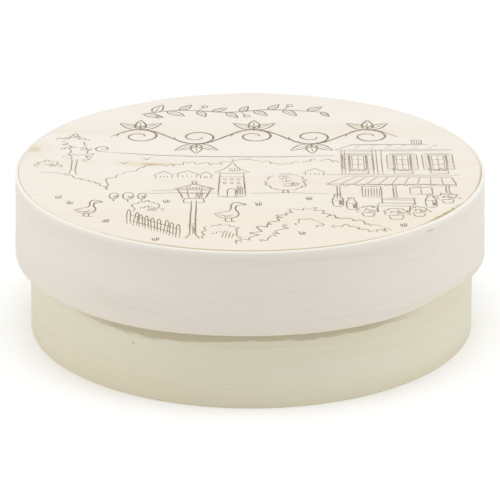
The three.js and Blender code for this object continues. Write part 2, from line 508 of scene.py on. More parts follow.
# %% Colours and wood
def colour(code):
    """A colour written as on a paint card, such as "e8dfc9", as Blender wants it."""
    parts = [int(code[i : i + 2], 16) / 255 for i in (0, 2, 4)]
    linear = [c / 12.92 if c <= 0.04045 else ((c + 0.055) / 1.055) ** 2.4 for c in parts]
    return (*linear, 1)


def blank_material(name):
    """A material with an empty tree, and that tree."""
    material = bpy.data.materials.new(name)
    material.use_nodes = True
    material.node_tree.nodes.clear()
    return material, Tree(material.node_tree)


def finish_material(tree, sockets):
    """Ends a material with its one shader, from the shader's values and wires."""
    surface = tree.add("ShaderNodeBsdfPrincipled", {}, sockets)
    exit_node = tree.group.nodes.new("ShaderNodeOutputMaterial")
    tree.group.links.new(surface.socket, exit_node.inputs["Surface"])


def wood_figure(tree, grain, seed):
    """The parts of a wood pattern, from a position whose X lies along the grain."""
    x, y, z = tree.split(grain)
    wander = tree.noise(tree.join(x * 9.0, y * 14.0, z), 1.0, 2.0, seed=seed) * 0.012
    y = y + wander

    def drawn_out(along, across, detail, roughness, shift):
        spot = tree.join(x * along, y * across, z * across)
        return tree.noise(spot, 1.0, detail, roughness, seed + shift)

    return {
        "bands": drawn_out(5.0, 75.0, 2.0, 0.5, 1),
        "streaks": drawn_out(26.0, 620.0, 3.0, 0.6, 2),
        "fibres": drawn_out(190.0, 4200.0, 2.0, 0.6, 3),
        "pores": tree.rise(drawn_out(330.0, 2900.0, 1.0, 0.5, 4), 0.66, 0.76),
    }


def wood_colour(tree, figure, codes, strength):
    """Pale wood with warm bands, darker streaks and short dark pores."""
    pale, warm, dark = (colour(code) for code in codes)
    tone = tree.blend(tree.rise(figure["bands"], 0.35, 0.75), pale, warm)
    tone = tree.blend(tree.rise(figure["streaks"], 0.5, 0.8) * strength, tone, dark)
    tone = tree.blend(tree.rise(figure["fibres"], 0.4, 0.8) * strength * 0.5, tone, dark)
    return tree.blend(figure["pores"] * strength, tone, dark)


def finish_wood(tree, figure, tone, depth, sheen=0.0):
    """Ends a wood material, with fibres that stand up to `depth` high and catch the light."""
    height = figure["fibres"] * 0.6 + figure["streaks"] * 0.5 - figure["pores"] * 0.7
    sockets = {"Base Color": tone, "Roughness": figure["fibres"] * 0.2 + 0.52, "Sheen Weight": sheen}
    sockets |= {"Normal": tree.relief(height, 0.55, depth), "Specular IOR Level": 0.3}
    finish_material(tree, sockets)


# %% The hoops' veneer
LID_MARKS = ({"along": 213.8, "up": 19.0, "long": 1.6, "tall": 0.22},)
BASE_MARKS = ({"along": 168.3, "up": 13.5, "long": 0.35, "tall": 0.35},)
LID_OVERLAP = LID["axis"].z - BASE["axis"].z
# Where the lid's painted shadow lies on the base hoop: the height of its lower edge, the middle of the
# front that it darkens, and where, over how long and how deep that edge sags.
LID_SHADOW = {"height": LID_OVERLAP - 2.7 * MM, "middle": 195.0, "sag": 170.0, "long": 16.0, "deep": 1.3}


def hoop_veneer(name, height, marks, codes, stain, seed, sheen=0.0, lid_shadow=None):
    """Veneer whose grain runs along the strip, with a painted highlight along its upper edge and a stain
    along its foot.

    Each of `marks` is a small brown fleck, where the branch left a bud. With shadow settings given,
    a painted shadow of the lid darkens the front above their height, down to a ragged line that sags.
    """
    material, tree = blank_material(name)
    along, up, through = (tree.read(name) for name in ("along", "up", "through"))
    figure = wood_figure(tree, tree.join(along, up, through), seed)
    tone = wood_colour(tree, figure, codes, 0.2)
    patches = tree.noise(tree.join(along * 18.0, up * 60.0, 0.0), 1.0, 3.0, 0.6, seed + 5)
    by_foot = 1.0 - tree.rise(up + patches * 4 * MM, 1.0 * MM, 5.0 * MM)
    tone = tree.blend(by_foot * 0.5, tone, colour(stain))
    for mark in marks:
        dx = (along - mark["along"] * MM) / (mark["long"] * MM)
        dy = (up - mark["up"] * MM) / (mark["tall"] * MM)
        away = (dx * dx + dy * dy).maths("SQRT") + (patches - 0.5)
        tone = tree.blend((1.0 - tree.rise(away, 0.4, 1.3)) * 0.6, tone, colour("a58f6c"))
    # Painted shadow of the lid: the base hoop is darkened just under the lid, in front only.
    if lid_shadow:
        far = (along - lid_shadow["sag"] * MM) / (lid_shadow["long"] * MM)
        sag = (far * far * -1.0).maths("EXPONENT") * lid_shadow["deep"] * MM
        ragged = tree.noise(tree.join(along * 140.0, up * 700.0, 0.0), 1.0, 3.0, 0.6, seed + 6) - 0.5
        low = up + sag + ragged * 2.2 * MM
        shaded = tree.rise(low, lid_shadow["height"] - 0.3 * MM, lid_shadow["height"] + 0.2 * MM)
        from_middle = (along - lid_shadow["middle"] * MM).maths("ABSOLUTE")
        front_shade = 1.0 - tree.rise(from_middle, 30 * MM, 50 * MM)
        tone = tree.blend(shaded * front_shade * 0.8, tone, colour("c3b799"))
    # Painted highlight: the top two millimetres of the wall are lightened, most of all along the rim's
    # edge, where the light catches it.
    painted_rim_highlight = tree.rise(up, height - 2.2 * MM, height - 0.2 * MM)
    rim = tree.rise(up - patches * 0.2 * MM, height - 0.75 * MM, height - 0.3 * MM)
    tone = tree.blend(rim * 0.6 + painted_rim_highlight * 0.4, tone, colour("fcf9ef"))
    finish_wood(tree, figure, tone, 0.015 * MM, sheen)
    return material


LID_WOOD = ("ebe5dc", "e8e0d5", "c9bda6")
BASE_WOOD = ("e7e2ce", "e5dec5", "c6b992")
pale_veneer = hoop_veneer(
    "pale_veneer", LID["height"], LID_MARKS, LID_WOOD, stain="e4dac4", seed=3.0, sheen=0.12
)
cream_veneer = hoop_veneer(
    "cream_veneer", BASE["height"], BASE_MARKS, BASE_WOOD, stain="e0d7bb", seed=11.0, lid_shadow=LID_SHADOW
)

# %% Bend the two hoops
bend = bending_tree()


def make_hoop(name, hoop, finish, numbers):
    """Bends one hoop, and moves it to its own axis and height."""
    values = {label.title(): hoop[label] for label in ("inside", "height", "flare", "seam")}
    section = strip_section(VENEER, hoop["height"], CORNER)
    piece = run_tree(bend, name, {**values, **numbers, "Finish": finish}, section)
    for vertex in piece.data.vertices:
        vertex.co += hoop["axis"]
    return piece


lid_hoop = make_hoop(
    "lid_bent_hoop",
    LID,
    pale_veneer,
    {
        "Waver": 0.35 * MM,
        "Rough Edge": 0.25 * MM,
        "Dip": 0.5 * MM,
        "Dip Angle": math.radians(238),
        "Notch": 1.2 * MM,
        "Notch Angle": math.radians(324),
        "Rim Dip": 0.55 * MM,
        "Rim Dip Angle": math.radians(104),
        "Seed": 1.0,
    },
)
base_hoop = make_hoop(
    "base_bent_hoop", BASE, cream_veneer, {"Waver": 0.25 * MM, "Rough Edge": 0.0, "Seed": 2.0}
)

# %% [markdown]
# ## Loose fibres
#
# A knife leaves poplar slightly furry where it cuts. A geometry tree scatters points over
# the parts of a hoop where the veneer was cut: the lid's lower edge, and the lapped ends.
# At each it puts a fibre, which is a thin cone that lies along the grain with its own
# length and tilt.

# %% Fibres
FURRY_HEIGHT = 0.32 * MM


def fibre_tree():
    """Lays a fibre at each of many points on the parts of a hoop that were cut."""
    sizes = {"Length": 0.7 * MM, "Thick": 0.045 * MM, "Last": 0.35, "Furry Foot": 1.0}
    inputs = {"Density": 0.9e6, **sizes, "Seed": 1, "Finish": None}
    tree, given = geometry_tree("loose fibres", inputs)
    up, along = tree.recall("up"), tree.recall("along")
    low = up.maths("LESS_THAN", given["Furry Foot"] * FURRY_HEIGHT)
    last = along.maths("GREATER_THAN", given["Last"] - 0.2 * MM)
    scatter = {"Mesh": given["Geometry"], "Selection": low.maths("MAXIMUM", last)}
    scatter |= {"Density": given["Density"], "Seed": given["Seed"]}
    points = tree.add("GeometryNodeDistributePointsOnFaces", {}, scatter)
    x, y, _ = tree.split(tree.add("GeometryNodeInputPosition"))
    grain = tree.vector("NORMALIZE", tree.join(y * -1.0, x, 0.0))
    limits = {0: (-0.3, -0.3, -0.4), 1: (0.3, 0.3, 0.1)}
    sway = tree.add("FunctionNodeRandomValue", {"data_type": "FLOAT_VECTOR"}, limits)
    heading = tree.vector("ADD", grain, sway)
    facing = tree.add("FunctionNodeAlignRotationToVector", {}, {"Vector": heading})
    sharp = {"Vertices": 5, "Radius Top": 0.0, "Radius Bottom": given["Thick"]}
    cone = tree.add("GeometryNodeMeshCone", {}, {**sharp, "Depth": given["Length"]})
    length = tree.add("FunctionNodeRandomValue", {"data_type": "FLOAT"}, {2: 0.3, 3: 1.3}, 1)
    sockets = {"Points": points, "Instance": cone, "Rotation": facing}
    sockets["Scale"] = tree.join(1.0, 1.0, length)
    fibres = tree.add("GeometryNodeInstanceOnPoints", {}, sockets)
    return finish_tree(tree, fibres, given["Finish"])


def fibre_finish():
    """The paler wood of a torn fibre."""
    material, tree = blank_material("wood_fibre")
    tint = tree.noise(tree.place(), 900.0, 2.0, 0.5, 71.0)
    tone = tree.blend(tint, colour("f2ecdf"), colour("d8cbb0"))
    finish_material(tree, {"Base Color": tone, "Roughness": tint * 0.2 + 0.6})
    return material


def loose_fibres(name, hoop_piece, numbers):
    """Fibres on the cut edges of a bent hoop."""
    last = max(mark.value for mark in hoop_piece.data.attributes["along"].data)
    values = {"Last": last, "Finish": wood_fibre, **numbers}
    return run_tree(fibre_tree(), name, values, hoop_piece.data.copy())


wood_fibre = fibre_finish()
lid_fibres = loose_fibres("lid_fibres", lid_hoop, {"Seed": 4})
base_fibres = loose_fibres("base_fibres", base_hoop, {"Seed": 9, "Density": 0.5e6, "Furry Foot": 0.0})

# %% [markdown]
# ## The boards
#
# The boards are cut from a thicker veneer. A lathe-like mesh is simplest: rings of points
# from the middle of the underside, out round the edge and back to the middle of the top.
# The upper edge is broken by sanding, more in some places than in others, and it is there
# that the box shows an amber line between the board and its hoop: end grain and glue,
# darkened further by painted shade in the groove between them.

# %% Board shape
ROUND = 360


def board(name, centre, radius, floor, top, broken_edge, finish):
    """A thin round board.

    `broken_edge` gives the width and depth of its upper edge at an angle, how strongly it is
    tinted amber with stain and painted groove shade, and how much longer than its radius it is there.
    """
    shape = bmesh.new()
    mark = shape.verts.layers.float.new("edge")
    rings = []
    sunk = 0.12 * MM
    profile = [(share, 0, 0, 0) for share in (0.25, 0.5, 0.75, 0.9)]
    profile += [(1, sunk, 0, 0), (1, 0, sunk, 0)]
    profile += [(1, None, math.radians(a), 1) for a in (0, 18, 36, 54, 72, 90)]
    profile += [(share, None, math.radians(90), 0) for share in (0.995, 0.98, 0.95, 0.9, 0.75, 0.5, 0.25)]
    for share, inset, lift, marked in profile:
        ring = []
        for i in range(ROUND):
            angle = 2 * math.pi * i / ROUND
            width, depth, amber_and_shade, longer = broken_edge(angle)
            if inset is None:
                reach = radius + longer - width * (1 - math.cos(lift))
                height = top - depth * (1 - math.sin(lift))
            else:
                reach = radius + longer - inset
                height = floor + lift
            x = centre.x + share * reach * math.cos(angle)
            y = centre.y + share * reach * math.sin(angle)
            vertex = shape.verts.new((x, y, height))
            vertex[mark] = marked * amber_and_shade
            ring.append(vertex)
        rings.append(ring)
    for lower, upper in zip(rings, rings[1:]):
        for i in range(ROUND):
            j = (i + 1) % ROUND
            shape.faces.new((lower[i], lower[j], upper[j], upper[i]))
    for ring, height, turn in ((rings[0], floor, -1), (rings[-1], top, 1)):
        hub = shape.verts.new((centre.x, centre.y, height))
        for i in range(ROUND):
            corners = (hub, ring[i], ring[(i + 1) % ROUND])
            shape.faces.new(corners[::turn])
    return piece_of_shape(name, shape, finish)


def hill(angle, place, width):
    """A smooth hill, 1 high, at an angle in degrees."""
    away = (math.degrees(angle) - place + 180) % 360 - 180
    return math.exp(-((away / width) ** 2))


def behind_lap(angle, hoop):
    """How much longer a board is cut where its hoop's end climbs, to fill the space there."""
    climb = CLIMB / (hoop["inside"] + VENEER)
    end = hoop["seam"] - LAP / 2 / (hoop["inside"] + VENEER)
    share = 1 - (end - angle) / climb
    if not 0 <= share <= 1:
        return 0.0
    return 0.9 * VENEER * share**2 * (3 - 2 * share)


def lid_edge(angle):
    """The lid board's broken edge: fine behind, wider in front, torn at the right, and tinted amber there
    by end grain, glue and painted groove shade.
    """
    front = math.exp(-(((math.degrees(angle) - 270) / 38) ** 4))
    torn = hill(angle, 325, 8) * (1 + 0.7 * noise.noise(Vector((angle * 60, 0, 0))))
    right = hill(angle, 352, 12)
    width = 0.08 + 0.4 * front + 0.6 * torn + 0.15 * right + 0.02 * math.sin(9 * angle)
    depth = 0.1 + 0.35 * front + 0.45 * torn + 0.15 * right
    # Amber of end grain and glue, with painted groove shade where the gap faces the front and at the tear.
    amber_and_shade = min(1.0, 0.05 + 0.8 * front + torn + 0.5 * right)
    return width * MM, depth * MM, amber_and_shade, behind_lap(angle, LID)


# %% [markdown]
# ## The boards' wood
#
# The lid's board was cut near a branch: there is a knot on its left edge and a streak of
# darker wood to the left of the middle. Grain flows round a knot as water flows round a
# stone, so the pattern's position is pushed aside near each one before the noise reads it.

# %% Board finish
KNOTS = (
    {"x": -54.0, "y": 13.2, "long": 2.4, "wide": 3.0, "depth": 0.38},
    {"x": -25.0, "y": 2.2, "long": 3.6, "wide": 0.7, "depth": 0.75},
)


def board_wood(name, codes, amber, knots, seed):
    """Wood whose grain runs along X, with knots, an amber broken edge that is partly painted groove shade,
    and painted shade that makes it creamier and darker in front.
    """
    material, tree = blank_material(name)
    place = tree.place()
    x, y, z = tree.split(place)
    heart = 0.0
    halo = 0.0
    bent = y
    for knot in knots:
        dx = (x - knot["x"] * MM) / (knot["long"] * MM)
        dy = (y - knot["y"] * MM) / (knot["wide"] * MM)
        away = (dx * dx + dy * dy).maths("SQRT")
        near = (away * away * -0.25).maths("EXPONENT")
        bent = bent - near * dy * (0.55 * knot["wide"] * MM)
        ragged = away + (tree.noise(place, 900.0, 3.0, 0.6, seed + 9) - 0.5) * 0.9
        heart = (1.0 - tree.rise(ragged, 0.25, 1.0)) * knot["depth"] + heart
        halo = (1.0 - tree.rise(ragged, 0.6, 3.2)) * knot["depth"] + halo
    figure = wood_figure(tree, tree.join(x, bent, z), seed)
    tone = wood_colour(tree, figure, codes, 0.26)
    # Painted shade: towards the front the board turns darker as the light falls off there, and part of the
    # shift is a warmer tint.
    front_shade = 1.0 - tree.rise(y, -60 * MM, 30 * MM)
    tone = tree.blend(front_shade * 0.25, tone, colour("f4e4c2"))
    if knots:
        tone = tree.blend(halo.maths("MINIMUM", 1.0) * 0.5, tone, colour("e8d0a0"))
        tone = tree.blend(heart.maths("MINIMUM", 1.0) * 0.8, tone, colour("c3955a"))
    # The amber broken edge: end grain and glue, partly painted shade in the groove between board and hoop.
    tone = tree.blend(tree.read("edge") * 0.85, tone, colour(amber))
    finish_wood(tree, figure, tone, 0.03 * MM)
    return material


def base_edge(angle):
    """The base board's broken edge, which is even all round."""
    return 0.2 * MM, 0.2 * MM, 0.3, behind_lap(angle, BASE)


lid_wood = board_wood("lid_wood", ("faf5ed", "f8efe2", "e0cfae"), "baa470", KNOTS, 21.0)
base_wood = board_wood("base_wood", ("e9e0c8", "e3d5b2", "c5b182"), "c2a66a", (), 31.0)
lid_reach = lid_board_radius + 0.15 * MM
base_reach = base_board_radius + 0.1 * MM
lid_board = board(
    "lid_round_board", lid_middle, lid_reach, lid_board_floor, lid_board_top, lid_edge, lid_wood
)
base_board = board(
    "base_round_board", base_middle, base_reach, base_board_floor, base_board_top, base_edge, base_wood
)

# %% [markdown]
# ## The drawing on the lid
#
# The lid carries a quick pen drawing of a farm in the country, under a winding vine,
# printed in one brown ink. A drawing is a set of strokes, so that is how it is stored: a
# list of lines, each with the width of its nib. Small functions draw the things, such as a
# leaf or a window, and larger ones arrange them. Positions are in millimetres from the
# lid's middle, with y away from the viewer. The hand is loose, so lobes of foliage are
# uneven, and the pen is often lifted.

# %% The pen
pen = random.Random(7)
strokes = []


def stroke(points, nib=0.32):
    """Draws one line of the pen."""
    strokes.append(([Vector(point) for point in points], nib))


def smooth(points, steps=6):
    """A smooth line through a few points."""
    points = [Vector(point) for point in points]
    line = []
    for a, b, c, d in zip([points[0], *points], points, points[1:], [*points[2:], points[-1]]):
        for i in range(steps):
            t = i / steps
            pull = (c - a) * t + (2 * a - 5 * b + 4 * c - d) * t**2 + (3 * b - a - 3 * c + d) * t**3
            line.append(b + pull / 2)
    return [*line, points[-1]]


def ring(x, y, wide, high, nib=0.32):
    """A closed ellipse, whose ends overlap a little."""
    stroke(arc(x, y, wide, high, 0, 400, 18), nib)


def scroll(x, y, radius, start, turns, nib):
    """A spiral that winds inwards about (x, y), from `start` degrees."""
    steps = int(abs(turns) * 18)
    line = []
    for i in range(steps + 1):
        a = math.radians(start + 360 * turns * i / steps)
        r = radius * (1 - 0.78 * i / steps)
        line.append((x + r * math.cos(a), y + r * math.sin(a)))
    stroke(line, nib)


def foliage(points, lobes, size, nib=0.32, lifts=0.1):
    """A leafy edge along a line: uneven lobes that bulge to its left."""
    line = smooth(points, 12)
    ends = [0, *((i + pen.uniform(-0.35, 0.35)) / lobes for i in range(1, lobes)), 1]
    knots = [line[round(share * (len(line) - 1))] for share in ends]
    edge = []
    for start, end in zip(knots, knots[1:]):
        step = end - start
        bulge = Vector((-step.y, step.x)).normalized() * size * pen.uniform(0.4, 1.5)
        bulge += step * pen.uniform(-0.35, 0.35)
        shares = (0, 0.15, 0.35, 0.5, 0.65, 0.85)
        edge += [start + step * t + bulge * math.sin(math.pi * t) for t in shares]
        if pen.random() < lifts:
            stroke(edge, nib)
            edge = []
    stroke([*edge, knots[-1]], nib)


def hatch(x, y, wide, high, count, slant=0.0, nib=0.24):
    """Short parallel lines that shade a patch."""
    for i in range(count):
        left = x + wide * (i + 0.5) / count
        stroke([(left, y), (left + slant, y + high * pen.uniform(0.7, 1.0))], nib)


def box_of(left, low, wide, high, nib=0.3):
    """A rectangle drawn in one go."""
    right, top = left + wide, low + high
    stroke([(left, low), (left, top), (right, top), (right, low), (left, low)], nib)


# %% Leaves and vine
def leaf(root, heading, length, width, nib=0.42):
    """A pointed leaf with two bowed sides and a midrib."""
    along = Vector((math.cos(heading), math.sin(heading)))
    across = Vector((-along.y, along.x))
    shares = [i / 8 for i in range(9)]
    for side in (-1, 1):
        bow = [side * width * math.sin(math.pi * share**0.75) / 2 for share in shares]
        stroke([root + along * length * s + across * b for s, b in zip(shares, bow)], nib)
    stroke([root, root + along * length * 0.5, root + along * length * 0.8 + across * 0.2], 0.26)


def sprig(stem, leaves, length):
    """A stem with leaves on alternate sides, smaller towards its tip, and a few berries."""
    line = smooth(stem, 10)
    stroke(line, 0.5)
    for i in range(leaves):
        share = 0.04 + 0.94 * i / (leaves - 1)
        k = min(int(share * (len(line) - 1)), len(line) - 2)
        ahead = line[k + 1] - line[k]
        side = 1 if i % 2 else -1
        size = length * (1 - 0.3 * share) * pen.uniform(0.85, 1.15)
        heading = math.atan2(ahead.y, ahead.x) + side * math.radians(pen.uniform(48, 66))
        leaf(line[k], heading, size, size * 0.4)
        if i % 3 == 1:
            berry = line[k] + Vector((1.6, -side * 3.4))
            stroke([line[k], berry], 0.26)
            ring(*berry, 0.8, 0.9, 0.36)


def vine(left, right, middle, swing, hollows):
    """A winding stem with a curl in each hollow and leaves on each crest."""
    half = (right - left) / hollows
    steps = 16 * hollows
    stem = [(left + half * i / 16, middle + swing * math.sin(math.pi * i / 16)) for i in range(steps + 1)]
    stroke(stem, 0.62)
    for k in range(hollows):
        side = -1 if k % 2 else 1
        x = left + half * (k + 0.5)
        scroll(x, middle + side * swing * 0.05, half * 0.4, 180, -side * 1.5, 0.56)
        crest = Vector((x, middle + side * swing))
        for turn in (-48, 0, 48):
            leaf(crest, math.radians(side * 90 + turn), half * 0.5, half * 0.2, 0.46)


def ornament():
    sprig([(-28, 40), (-18, 43), (-6, 41.5), (6, 43.5), (19, 41.5)], 13, 6.6)
    vine(-35, 37, 22.5, 5.5, 5)
    stroke(smooth([(-36, 11.2), (-22, 8.6), (-7, 7.6), (8, 7.6), (21, 8.4)], 10), 0.5)
    scroll(-36.6, 13.4, 2.3, -70, -1.3, 0.42)


# %% Trees, hills and bushes
def crown(x, y, wide, high, lobes):
    """The leaves of a tree: an uneven outline with tufts inside, darker on its right."""
    foliage(arc(x, y, wide, high, 285, -75, 14), lobes, wide * 0.2, lifts=0.2)
    for i in range(5):
        level = y + high * (0.62 - 0.3 * i)
        middle = x + wide * pen.uniform(-0.3, 0.3)
        ends = [(middle - wide * 0.35, level), (middle + wide * 0.35, level + 0.5)]
        foliage(ends, 3, 0.9, 0.26, 0.3)
    hatch(x + wide * 0.25, y - high * 0.45, wide * 0.5, high * 0.5, 4, 0.4)


def fruit_tree(x, foot, wide, high, lobes=15):
    """A round crown on a short trunk."""
    crown(x, foot + high * 0.6, wide / 2, high * 0.42, lobes)
    for side in (-0.5, 0.5):
        stroke([(x + side, foot + high * 0.2), (x + side * 1.3, foot)])


def bush(x, y, wide, high, lobes=7):
    side, shoulder = wide / 2, y + high * 0.8
    outline = [(x - side, y), (x - side * 0.8, shoulder), (x, y + high), (x + side * 0.8, shoulder)]
    foliage([*outline, (x + side, y)], lobes, 1.0)
    foliage([(x - side * 0.5, y + high * 0.3), (x + side * 0.5, y + high * 0.5)], 3, 0.9, 0.26)
    hatch(x, y + 0.4, side * 0.8, high * 0.5, 4, 0.5)


def tuft(x, y, size=3.0):
    """A tuft of grass."""
    for lean in (-0.5, -0.15, 0.25, 0.6):
        tip = y + size * pen.uniform(0.6, 1)
        stroke([(x + lean * 0.8, y), (x + lean * 1.2, (y + tip) / 2), (x + lean * size * 0.5, tip)], 0.28)


def cottage(x, y, wide):
    """A far cottage: a gable, a row of windows and no more."""
    stroke([(x - 0.6, y + 2.6), (x + wide / 2, y + 5.6), (x + wide + 0.6, y + 2.6)])
    stroke([(x, y + 3), (x, y + 0.6)], 0.26)
    stroke([(x + wide, y + 3), (x + wide, y + 0.6)], 0.26)
    hatch(x + 0.7, y + 0.9, wide - 1.4, 1.6, 3)


def landscape():
    foliage([(-51, -4), (-46, -5), (-42, -8.5), (-38, -11), (-34.5, -16)], 9, 0.8)
    foliage([(-34.5, -16), (-33, -8), (-28, -3), (-24, 1.5), (-19, 0.5), (-15, 2.5)], 10, 1.3)
    foliage([(-15, 2.5), (-8, 1.5), (-1, 5.5), (4, 2.5), (10, 2), (16, 4.5), (22, 3)], 15, 1.3)
    for x, y, wide in ((-23, -8.5, 4), (-17.6, -8, 4.6), (-12, -8.8, 2.5), (13.5, -6.5, 4.5)):
        cottage(x, y, wide)
    stroke([(-24, -16.8), (-17, -16), (-9, -16.4)], 0.26)
    stroke([(-27, -18.6), (-15, -18), (-8, -18.4)], 0.26)
    stroke([(0, -18.5), (9, -18), (19, -18.8)], 0.26)
    poplar = [(-40.5, 16), (-42, 21), (-44.5, 25), (-47.5, 18), (-45, 13), (-46, 6)]
    foliage(poplar, 9, 1.5, lifts=0.3)
    foliage([(-40, 4), (-38.5, 9), (-41, 14)], 5, 1.2, lifts=0.3)
    foliage([(-48.5, 20), (-44, 21.5), (-40.5, 19.5)], 5, 1.3, 0.3)
    foliage([(-47, 12.5), (-43.5, 14), (-40, 12)], 5, 1.3, 0.3)
    foliage([(-46.5, 7), (-43, 8.5), (-39.5, 6.5)], 4, 1.3, 0.3)
    stroke([(-44, 7), (-43.8, -2), (-44.4, -5)])
    stroke([(-42.6, 6), (-42.8, -2), (-42.4, -5.6)])
    bush(-49.5, 0, 4.5, 4, 6)


# %% The farmhouse
def window(x, y, wide, high):
    """A window with open shutters and a box of flowers."""
    box_of(x, y, wide, high)
    box_of(x + 0.5, y + 0.6, wide - 1, high - 1.2, 0.24)
    stroke([(x + wide / 2, y + 0.6), (x + wide / 2, y + high - 0.6)], 0.24)
    for share in (0.35, 0.68):
        stroke([(x + 0.5, y + high * share), (x + wide - 0.5, y + high * share)], 0.24)
    for left in (x - 1.8, x + wide + 0.3):
        box_of(left, y, 1.5, high)
        for i in range(8):
            rung = y + high * (i + 0.7) / 8.5
            stroke([(left + 0.2, rung), (left + 1.3, rung + 0.2)], 0.22)
    foliage([(x - 0.6, y - 0.6), (x + wide + 0.6, y - 0.5)], 6, 1.4, 0.28)
    box_of(x - 0.3, y - 2.6, wide + 0.6, 1.9)
    stroke([(x - 1.2, y + high + 0.8), (x + wide + 1.3, y + high + 0.9)], 0.34)


def farmhouse():
    left, right, floor, eaves, ridge = 22.5, 51.0, -5.4, 12.5, 16.5
    for x in (left, left + 0.8, 30.2, 31.2, 32.4):
        stroke([(x, floor), (x + 0.1, eaves)], 0.3)
    stroke([(left - 1.4, eaves), (right - 0.5, eaves + 0.3)], 0.38)
    stroke([(left - 0.6, eaves - 0.9), (right - 0.5, eaves - 0.6)], 0.26)
    stroke([(left - 1.4, eaves), (left + 3, ridge), (right - 6.5, ridge + 0.3)], 0.38)
    for row in range(2):
        for i in range(6):
            x = left + 3.5 + row * 0.8 + i * 3.6 + pen.uniform(-0.5, 0.5)
            stroke([(x, eaves + 1.6 + row * 1.6), (x + 1.6, eaves + 1.7 + row * 1.6)], 0.24)
    box_of(40.5, ridge + 0.2, 2.4, 3.0)
    hatch(40.8, ridge + 0.5, 1.8, 2.2, 3)
    for x in (24.7, 35.6, 44.4):
        window(x, -2, 3.9, 11)
    stroke([(17.5, floor), (34, floor - 0.2), (right, floor - 0.4)], 0.34)


def porch():
    """A striped cloth on posts, in front of the house's door."""
    stroke([(23.5, -6.6), (49, -7.2), (50, -12.4), (18.5, -12), (23.5, -6.6)], 0.36)
    for i in range(1, 10):
        share = i / 10
        stroke([(23.5 + 25.5 * share, -6.8), (18.5 + 31.5 * share, -12.2)], 0.24)
    foliage([(18.5, -12), (34, -12.2), (50, -12.4)], 14, -1.1, 0.28, 0)
    for x, foot in ((21, -22), (34.5, -22), (47.3, -18.4)):
        stroke([(x, -13), (x, foot)])
        stroke([(x + 0.7, -13), (x + 0.7, foot)], 0.26)
    box_of(27, -21, 4.6, 7.4)
    hatch(27.4, -20.6, 4, 6.4, 6, 0.1)
    box_of(38.5, -19, 5.4, 4.6)
    stroke([(41.2, -19), (41.2, -14.6)], 0.24)


# %% The farmyard
def churn(x, y, size):
    """A milk churn."""
    outline = ((0.5, 0), (0.52, 1.9), (0.3, 2.6), (0.32, 3.1))
    for side in (-1, 1):
        stroke(smooth([(x + side * size * s, y + size * h) for s, h in outline], 4))
    ring(x, y + size * 3.15, size * 0.38, size * 0.2)
    stroke(arc(x, y, size * 0.5, size * 0.2, 180, 360))
    stroke(arc(x, y + size * 1.85, size * 0.52, size * 0.2, 180, 360), 0.26)
    hatch(x + size * 0.1, y + size * 0.2, size * 0.34, size * 1.5, 3)


def bench(x, y, wide):
    stroke([(x, y), (x + wide, y - 0.3), (x + wide + 1, y + 1.6), (x + 1, y + 2), (x, y)])
    for left in (x + 0.4, x + wide - 0.4):
        stroke([(left, y - 0.1), (left - 0.3, y - 4.4)])
    for level in (4.2, 5.4):
        stroke([(x + 1.2, y + level), (x + wide + 1.2, y + level - 0.3)])
    for left in (x + 1.6, x + wide + 0.8):
        stroke([(left, y + 1.6), (left, y + 5.6)], 0.3)


def tub(x, y, size):
    """A tub of flowers."""
    left, right = (x - size, y + size * 1.5), (x + size, y + size * 1.5)
    stroke([left, (x - size * 0.7, y), (x + size * 0.7, y), right])
    stroke([left, right])
    bush(x, y + size * 1.6, size * 2.6, size * 2.2, 7)


def dovecote(x, y, wide, high):
    """A round tower with a pointed roof and holes for the birds."""
    side, eaves = wide / 2, y + high * 0.68
    for end in (-1, 1):
        stroke([(x + end * side, y), (x + end * side * 0.86, eaves)], 0.36)
        roof = [(x + end * side * 1.3, eaves), (x + end * side * 0.5, eaves + high * 0.12), (x, y + high)]
        stroke(smooth(roof, 4))
    stroke(arc(x, eaves, side * 1.3, 0.9, 180, 360))
    stroke(arc(x, y, side, 0.9, 180, 360))
    stroke(arc(x, eaves - 2.6, side * 0.88, 0.8, 180, 360), 0.26)
    stroke([(x, y + high), (x, y + high + 1.8)], 0.3)
    for row in range(2):
        for end in (-1, 0, 1):
            ring(x + end * side * 0.5, eaves - 5 - row * 2.6, 0.34, 0.6, 0.26)
    stroke([(x - 1, y - 0.7), (x - 1, y + 4), (x, y + 5), (x + 1, y + 4), (x + 1, y - 0.7)])
    hatch(x + side * 0.35, y + 0.4, side * 0.5, high * 0.3, 4)
    hatch(x - side * 0.2, eaves + 0.4, side * 0.9, high * 0.14, 5, -0.3)


def lantern_post(x, foot, top):
    waist = top - 10
    for side in (-1, 1):
        stroke([(x + side * 0.7, foot + 2), (x + side * 0.55, waist - 1.4)], 0.36)
        stroke([(x + side * 1.6, foot), (x + side * 0.8, foot + 2.6)])
        stroke([(x + side * 2.6, waist), (x + side * 4, top - 3.6)], 0.36)
        stroke([(x + side * 1.2, waist), (x + side * 1.8, top - 3.6)], 0.26)
        curl = [(x + side * 0.6, waist - 3), (x + side * 2.4, waist - 2.6), (x + side * 2.2, waist)]
        stroke(smooth(curl), 0.3)
    stroke([(x - 2.7, waist), (x + 2.7, waist)], 0.42)
    stroke([(x - 3.5, top - 6.6), (x + 3.5, top - 6.6)], 0.26)
    stroke([(x - 4.8, top - 3.4), (x, top), (x + 4.8, top - 3.4), (x - 4.8, top - 3.4)], 0.42)
    hatch(x - 2.2, top - 3.1, 4.4, 1.6, 6)
    hatch(x + 0.2, waist + 0.5, 1.8, 5, 4, 0.2)
    ring(x, top + 1, 0.6, 1.1, 0.36)
    for y in (foot + 8, foot + 9.4):
        stroke([(x - 1.1, y), (x + 1.1, y)], 0.4)
    hatch(x - 0.1, foot + 3, 0.6, 5, 2)


